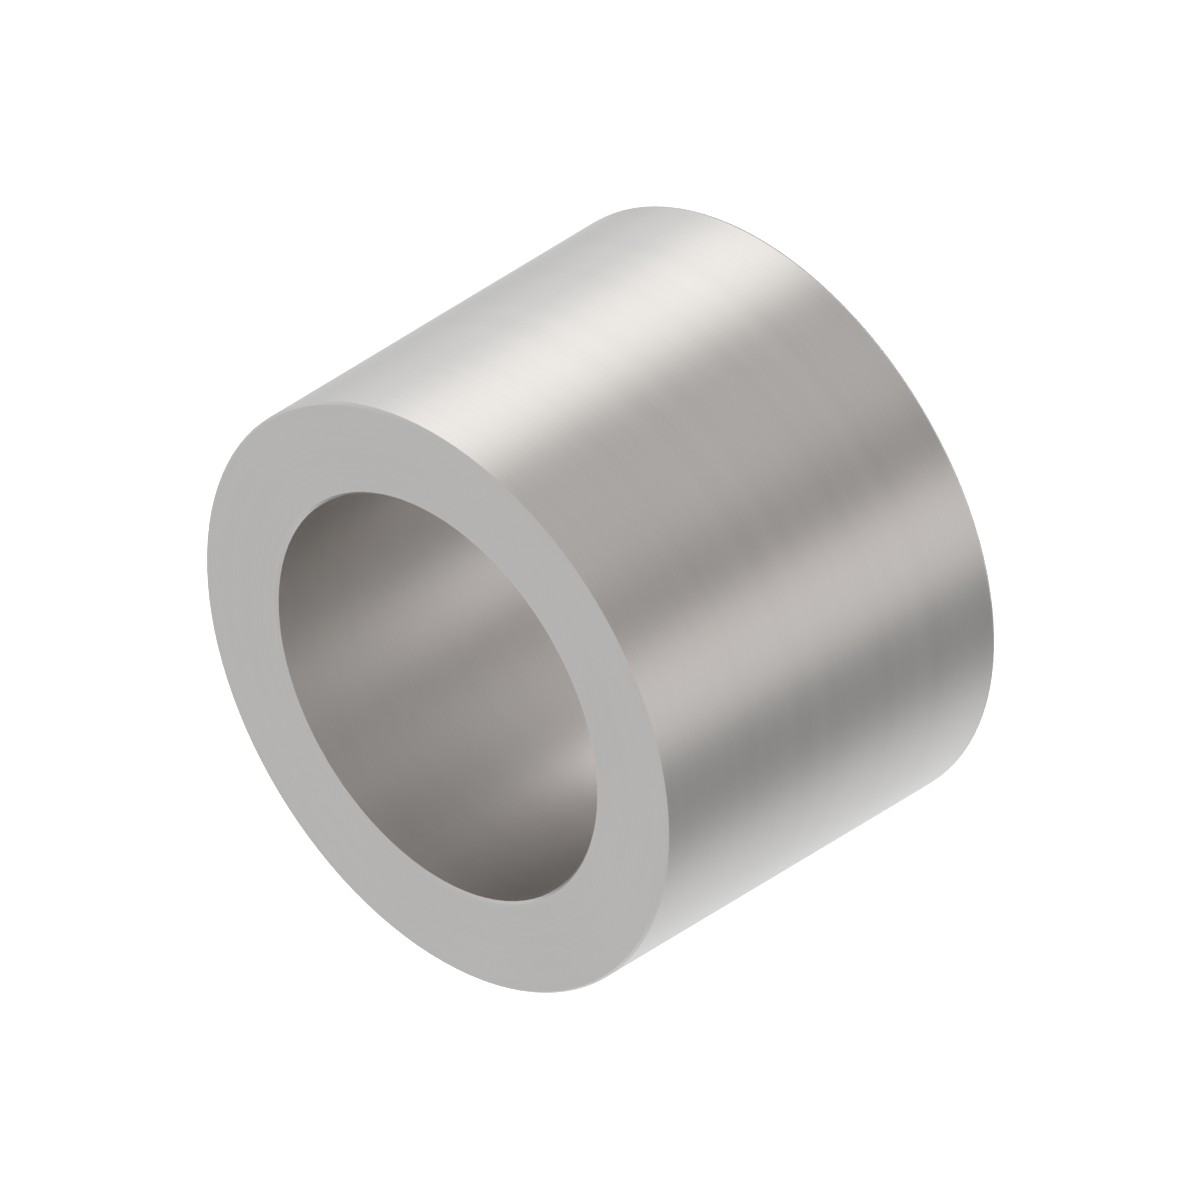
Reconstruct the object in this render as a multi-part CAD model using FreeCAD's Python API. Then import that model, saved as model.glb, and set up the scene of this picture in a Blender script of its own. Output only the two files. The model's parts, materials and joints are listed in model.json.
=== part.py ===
import FreeCAD, Part
import os

# Spacer sleeve: a short, thick-walled round tube that holds two clamped parts a set distance apart.
#
# A bolt runs through the bore, and the parts that it clamps press on the two flat ends. The sleeve
# is turned in one piece from round steel bar: the outside is turned, the bore is drilled and bored
# straight through, and both ends are faced square to it. All four rims are chamfered, because a
# burr left on one would cut the hand and lift the sleeve off its seat.
#
# The sleeve stands on one end. The origin is the centre of that end, and +Z runs up the bore.

# Driving sizes, in millimetres. The outside is that of 1 inch bar, and the bore lets an M16 bolt
# through with the clearance of an ordinary bolt hole.
OUTER_DIAMETER = 25.4
BORE_DIAMETER = 17.5
LENGTH = 18.0

# A light touch of the tool breaks each rim at 45 degrees, so the ends stay flat over nearly all the
# wall.
RIM_CHAMFER = 0.1

BORE_FOOT = FreeCAD.Vector(0, 0, 0)
BORE_DIRECTION = FreeCAD.Vector(0, 0, 1)
FULL_TURN = 360


def wall_section():
    """Returns the wall cut lengthwise: the rectangle between bore and outside, in the XZ plane."""
    bore_x = BORE_DIAMETER / 2
    outer_x = OUTER_DIAMETER / 2
    corners = [
        FreeCAD.Vector(bore_x, 0, 0),
        FreeCAD.Vector(outer_x, 0, 0),
        FreeCAD.Vector(outer_x, 0, LENGTH),
        FreeCAD.Vector(bore_x, 0, LENGTH),
    ]
    outline = Part.makePolygon(corners + corners[:1])
    return Part.Face(outline)


def deburred(blank):
    """Returns the blank with the rims of both ends chamfered, inside and outside."""
    rims = [edge for edge in blank.Edges if isinstance(edge.Curve, Part.Circle)]
    return blank.makeChamfer(RIM_CHAMFER, rims)


def turned_sleeve():
    """Returns the sleeve: the wall's section turned once round the bore, then deburred."""
    blank = wall_section().revolve(BORE_FOOT, BORE_DIRECTION, FULL_TURN)
    return deburred(blank)


os.makedirs("parts", exist_ok=True)
sleeve = turned_sleeve()
sleeve.exportStep("parts/sleeve.step")
box = sleeve.optimalBoundingBox(False)
print(f"sleeve: {box.XLength:.2f} x {box.YLength:.2f} x {box.ZLength:.2f} mm, {sleeve.Volume:.1f} mm3")
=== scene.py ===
import bpy
import json
import math
from mathutils import Matrix, Vector


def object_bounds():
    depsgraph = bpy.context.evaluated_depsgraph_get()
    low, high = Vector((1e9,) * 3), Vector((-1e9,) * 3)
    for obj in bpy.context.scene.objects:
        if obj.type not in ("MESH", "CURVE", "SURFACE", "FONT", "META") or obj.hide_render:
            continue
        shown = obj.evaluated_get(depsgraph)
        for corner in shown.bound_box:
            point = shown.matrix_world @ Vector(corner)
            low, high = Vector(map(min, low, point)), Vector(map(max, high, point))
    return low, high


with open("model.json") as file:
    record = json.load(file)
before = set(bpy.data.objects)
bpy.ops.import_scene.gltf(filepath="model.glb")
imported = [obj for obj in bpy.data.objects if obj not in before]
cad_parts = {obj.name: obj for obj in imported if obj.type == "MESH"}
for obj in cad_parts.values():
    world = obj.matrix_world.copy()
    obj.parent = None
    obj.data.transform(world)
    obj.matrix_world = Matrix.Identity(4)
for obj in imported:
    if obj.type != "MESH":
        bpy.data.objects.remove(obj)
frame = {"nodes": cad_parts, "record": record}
cad_low, cad_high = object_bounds()

# The sleeve: a short thick-walled tube of plain steel, turned in one piece from bar on a lathe.
# The tool left fine rings round the outside, down the bore and, where the ends were faced, on
# the flats; their roughness and relief are the steel's own, and their light and dark in the colour
# is painted shade. The bore came out a little rougher; its paler, warmer colour is painted light
# that lifts the shade inside it, and the brighter rims are a painted highlight.
sleeve = frame["nodes"]["sleeve"]
steel_colour = (0.600, 0.593, 0.579)
steel_roughness = 0.29

mark_pitch = 0.00012
band_pitch = 0.0009
mark_share = 0.5
# The marks' light and dark in the colour is painted shade of the tool's grooves.
mark_painted_shade = 0.018
mark_roughness = 0.010
mark_depth = 0.000001

tone_patch = 0.006
tone_shade = 0.01

# Noise runs from 0 to 1, and most of it lies between these two.
noise_low = 0.3
noise_high = 0.7

bore_mount = next(mount for mount in frame["record"]["mounts"] if mount["name"] == "bore")
bore_radius = bore_mount["dims"]["r_mm"] / 1000
# Painted light: the bore's colour is paler and warmer, lifting the shade inside the bore.
bore_colour_with_painted_light = (0.620, 0.607, 0.594)
bore_roughness = 0.08

rim_chamfer = 0.0001
# A painted highlight: the rims' colour is made brighter.
rim_painted_highlight = 1.02

# A surface's normal is upright by 0 on the walls, 0.7 on a chamfered rim and 1 on the ends. The
# painted highlight on the rims comes in between the first two of these limits and goes out
# between the last two.
rim_starts = 0.05
rim_full_from = 0.5
rim_full_to = 0.6
rim_ends = 0.98

level_only = (1.0, 1.0, 0.0)
upright_only = (0.0, 0.0, 1.0)


def add_node(tree, kind, label, **settings):
    """Adds a node to a tree, named for what it does there."""
    node = tree.nodes.new(kind)
    node.name = label
    node.label = label
    for option, value in settings.items():
        setattr(node, option, value)
    return node


def feed(tree, value, socket):
    """Gives a socket its value, which is a plain value or another node's output."""
    if isinstance(value, bpy.types.NodeSocket):
        tree.links.new(value, socket)
    else:
        socket.default_value = value


def add_math(tree, operation, label, *values):
    """Adds a math node on the values and returns its output."""
    node = add_node(tree, "ShaderNodeMath", label, operation=operation)
    for value, socket in zip(values, node.inputs):
        feed(tree, value, socket)
    return node.outputs["Value"]


def add_vector_math(tree, operation, label, *values):
    """Adds a vector math node on the values and returns the output that the operation uses."""
    node = add_node(tree, "ShaderNodeVectorMath", label, operation=operation)
    sockets = [socket for socket in node.inputs if socket.enabled]
    for value, socket in zip(values, sockets):
        feed(tree, value, socket)
    return next(socket for socket in node.outputs if socket.enabled)


def add_range(tree, label, value, low, high, to_low, to_high, curve="LINEAR"):
    """Adds a node that maps low to high onto to_low to to_high, and returns its output."""
    node = add_node(tree, "ShaderNodeMapRange", label, interpolation_type=curve)
    for socket, setting in (
        ("Value", value),
        ("From Min", low),
        ("From Max", high),
        ("To Min", to_low),
        ("To Max", to_high),
    ):
        feed(tree, setting, node.inputs[socket])
    return node.outputs["Result"]


def add_noise(tree, label, place, patch):
    """Adds cloudy noise with patches of the given size, and returns its output."""
    noise = add_node(tree, "ShaderNodeTexNoise", label)
    feed(tree, place, noise.inputs["Vector"])
    feed(tree, 1 / patch, noise.inputs["Scale"])
    feed(tree, 0.0, noise.inputs["Detail"])
    return noise.outputs["Fac"]


def add_blend(tree, label, share, first, second):
    """Adds a node that turns one colour into another as share goes from 0 to 1."""
    node = add_node(tree, "ShaderNodeMix", label, data_type="VECTOR")
    sockets = [socket for socket in node.inputs if socket.enabled]
    for value, socket in zip((share, first, second), sockets):
        feed(tree, value, socket)
    return next(socket for socket in node.outputs if socket.enabled)


steel = bpy.data.materials.new("turned_steel")
steel.use_nodes = True
tree = steel.node_tree
shader = tree.nodes["Principled BSDF"]
shader.inputs["Metallic"].default_value = 1.0

# Each ring lies at one radius and one height, so the marks are noise over those two alone.
coordinates = add_node(tree, "ShaderNodeTexCoord", "place")
place = coordinates.outputs["Object"]
normal = coordinates.outputs["Normal"]
split = add_node(tree, "ShaderNodeSeparateXYZ", "split place")
feed(tree, place, split.inputs["Vector"])
across = add_vector_math(tree, "MULTIPLY", "place across the bore", place, level_only)
radius = add_vector_math(tree, "LENGTH", "radius", across)
section = add_node(tree, "ShaderNodeCombineXYZ", "place in the wall's section")
feed(tree, radius, section.inputs["X"])
feed(tree, split.outputs["Z"], section.inputs["Y"])

fine_marks = add_noise(tree, "fine tool marks", section.outputs["Vector"], mark_pitch)
broad_marks = add_noise(tree, "broad bands of marks", section.outputs["Vector"], band_pitch)
both_marks = add_math(tree, "ADD", "fine and broad", fine_marks, broad_marks)
marks = add_math(tree, "MULTIPLY", "tool marks", both_marks, mark_share)
drift = add_noise(tree, "slow drift of tone", place, tone_patch)

facing = add_node(tree, "ShaderNodeSeparateXYZ", "facing")
feed(tree, normal, facing.inputs["Vector"])
upright = add_math(tree, "ABSOLUTE", "how upright", facing.outputs["Z"])
off_wall = add_range(
    tree, "off the wall", upright, rim_starts, rim_full_from, 0.0, 1.0, "SMOOTHSTEP"
)
off_end = add_range(tree, "off the end", upright, rim_full_to, rim_ends, 1.0, 0.0, "SMOOTHSTEP")
rim = add_math(tree, "MULTIPLY", "rim", off_wall, off_end)
off_bore = bore_radius + rim_chamfer
bore = add_range(tree, "bore", radius, bore_radius, off_bore, 1.0, 0.0)

# Painted shade: the tool marks lighten and darken the colour; their roughness and relief follow
# below.
painted_mark_shade = add_range(
    tree, "painted shade of the marks", marks, noise_low, noise_high, 1 - mark_painted_shade, 1 + mark_painted_shade
)
drift_tone = add_range(
    tree, "shade of the drift", drift, noise_low, noise_high, 1 - tone_shade, 1 + tone_shade
)
# Painted highlight: the colour is brighter on the rims.
rim_highlight_tone = add_range(tree, "painted highlight on the rim", rim, 0.0, 1.0, 1.0, rim_painted_highlight)
plain_tone = add_math(tree, "MULTIPLY", "tone with drift", painted_mark_shade, drift_tone)
tone = add_math(tree, "MULTIPLY", "tone with painted rim highlight", plain_tone, rim_highlight_tone)
# Painted light in the bore: its colour is blended paler and warmer than the outside.
even_colour = add_blend(tree, "outside and bore with painted light", bore, steel_colour, bore_colour_with_painted_light)
colour = add_vector_math(tree, "SCALE", "steel colour", even_colour, tone)
feed(tree, colour, shader.inputs["Base Color"])

smoothest = steel_roughness - mark_roughness
roughest = steel_roughness + mark_roughness
outside_roughness = add_range(
    tree, "roughness of the marks", marks, noise_low, noise_high, smoothest, roughest
)
roughness = add_math(
    tree, "MULTIPLY_ADD", "roughness with bore", bore, bore_roughness, outside_roughness
)
feed(tree, roughness, shader.inputs["Roughness"])

# A turned surface leans straight in or out from the axis, also where its mesh closes on itself.
outwards = add_vector_math(tree, "NORMALIZE", "straight out from the axis", across)
lean = add_vector_math(tree, "DOT_PRODUCT", "lean outwards", normal, outwards)
level_part = add_vector_math(tree, "SCALE", "level part of the normal", outwards, lean)
upright_part = add_vector_math(tree, "MULTIPLY", "upright part", normal, upright_only)
turned_normal = add_vector_math(tree, "ADD", "normal of a turned surface", level_part, upright_part)
world_normal = add_node(
    tree, "ShaderNodeVectorTransform", "normal in the world", vector_type="NORMAL"
)
feed(tree, turned_normal, world_normal.inputs["Vector"])

relief = add_node(tree, "ShaderNodeBump", "relief of the marks")
feed(tree, mark_depth, relief.inputs["Distance"])
feed(tree, marks, relief.inputs["Height"])
feed(tree, world_normal.outputs["Vector"], relief.inputs["Normal"])
feed(tree, relief.outputs["Normal"], shader.inputs["Normal"])

sleeve.material_slots[0].link = "OBJECT"
sleeve.material_slots[0].material = steel

# The floor: one broad sheet of matt white board, on which the sleeve stands on its end.
# It is stage, not part of the object, and the steel doesn't mirror it.
floor_half_width = 1.5
board_colour = (0.85, 0.85, 0.85, 1.0)
board_roughness = 1.0
board_shine = 0.0

square = ((-1, -1), (1, -1), (1, 1), (-1, 1))
corners = [(x * floor_half_width, y * floor_half_width, 0.0) for x, y in square]
floor_mesh = bpy.data.meshes.new("floor")
floor_mesh.from_pydata(corners, [], [(0, 1, 2, 3)])
floor = bpy.data.objects.new("floor", floor_mesh)
bpy.context.scene.collection.objects.link(floor)
floor.visible_glossy = False

white_board = bpy.data.materials.new("white_board")
white_board.use_nodes = True
board_shader = white_board.node_tree.nodes["Principled BSDF"]
board_shader.inputs["Base Color"].default_value = board_colour
board_shader.inputs["Roughness"].default_value = board_roughness
board_shader.inputs["Specular IOR Level"].default_value = board_shine
floor.data.materials.append(white_board)

# The studio: soft upright panels round the sleeve, with a dark flag between two of them, in a
# plain grey room that is pale overhead and darker underfoot. One broad softbox, high up, lights
# only the floor. The camera sees a white backdrop in place of the room.
room_level = (0.365, 0.365, 0.365)
ceiling_level = (0.75, 0.75, 0.75)
ceiling_from = 0.12
ceiling_to = 0.45
foot_level = (0.30, 0.30, 0.30)
foot_from = -0.88
foot_to = -0.99
backdrop_level = (1.0, 1.0, 1.0)

# A panel's name, the azimuth of its middle, its half width at full strength and out to its soft
# end, its brightness and its colour. Angles are in degrees. The flag takes light away.
panels = (
    ("key", 355, 2, 32, 0.41, (1.0, 0.94, 0.91)),
    ("key wash", 15, 14, 60, 0.64, (1.0, 1.0, 1.0)),
    ("fill", 116, 4, 69, 0.55, (1.0, 1.0, 1.0)),
    ("rear wash", 94, 4, 40, 0.08, (0.96, 0.98, 1.0)),
    ("strip", 228, 4, 28, 0.47, (1.0, 0.96, 0.95)),
    ("warm wall", 290, 54, 90, 0.12, (1.0, 0.80, 0.72)),
    ("low strip", 294, 5, 34, 0.20, (1.0, 0.97, 0.96)),
    ("flag", 262, 2, 16, -0.06, (1.0, 1.0, 1.0)),
)

world = bpy.data.worlds.new("studio")
bpy.context.scene.world = world
world.use_nodes = True
tree = world.node_tree
tree.nodes.clear()
coordinates = add_node(tree, "ShaderNodeTexCoord", "direction")
direction = coordinates.outputs["Generated"]
level = add_vector_math(tree, "MULTIPLY", "level", direction, level_only)
bearing = add_vector_math(tree, "NORMALIZE", "bearing", level)

walls = room_level
for name, azimuth, full_half_width, soft_half_width, brightness, tint in panels:
    angle = math.radians(azimuth)
    middle = (math.cos(angle), math.sin(angle), 0.0)
    nearness = add_vector_math(tree, "DOT_PRODUCT", "towards " + name, bearing, middle)
    soft_end = math.cos(math.radians(soft_half_width))
    full_end = math.cos(math.radians(full_half_width))
    strength = add_range(
        tree, name + " edge", nearness, soft_end, full_end, 0.0, brightness, "SMOOTHSTEP"
    )
    walls = add_vector_math(tree, "MULTIPLY_ADD", name, strength, tint, walls)

height = add_node(tree, "ShaderNodeSeparateXYZ", "height")
feed(tree, direction, height.inputs["Vector"])
rise = height.outputs["Z"]
up = add_range(tree, "towards the ceiling", rise, ceiling_from, ceiling_to, 0.0, 1.0, "SMOOTHSTEP")
room = add_blend(tree, "walls and ceiling", up, walls, ceiling_level)
down = add_range(tree, "towards the sleeve's foot", rise, foot_to, foot_from, 1.0, 0.0, "SMOOTHSTEP")
all_round = add_blend(tree, "room and foot", down, room, foot_level)

ray = add_node(tree, "ShaderNodeLightPath", "ray")
to_camera = ray.outputs["Is Camera Ray"]
seen = add_blend(tree, "backdrop behind the sleeve", to_camera, all_round, backdrop_level)
sky = add_node(tree, "ShaderNodeBackground", "light")
feed(tree, seen, sky.inputs["Color"])
surround = add_node(tree, "ShaderNodeOutputWorld", "surround")
feed(tree, sky.outputs["Background"], surround.inputs["Surface"])

softbox_tilt = math.radians(30)
softbox_spread = math.radians(30)
softbox_strength = 5.0

softbox_light = bpy.data.lights.new("softbox", "SUN")
softbox_light.angle = softbox_spread
softbox_light.energy = softbox_strength
softbox = bpy.data.objects.new("softbox", softbox_light)
softbox.rotation_euler = (softbox_tilt, 0.0, 0.0)
softbox.visible_glossy = False
bpy.context.scene.collection.objects.link(softbox)

bpy.context.scene.view_settings.view_transform = "Standard"

# The camera: it looks down on the near end without perspective, and it is rolled, so that the
# upright sleeve lies slanting across the picture.
view_elevation = math.radians(34.45)
view_roll = math.radians(-120.96)
view_width = 0.0466
view_distance = 0.3

aim = (cad_low + cad_high) / 2
back = Vector((0.0, -math.cos(view_elevation), math.sin(view_elevation)))
turn = back.to_track_quat("Z", "Y").to_matrix() @ Matrix.Rotation(view_roll, 3, "Z")
lens = bpy.data.cameras.new("camera")
lens.type = "ORTHO"
lens.ortho_scale = view_width
camera = bpy.data.objects.new("camera", lens)
bpy.context.scene.collection.objects.link(camera)
camera.matrix_world = Matrix.Translation(aim + back * view_distance) @ turn.to_4x4()
bpy.context.scene.camera = camera
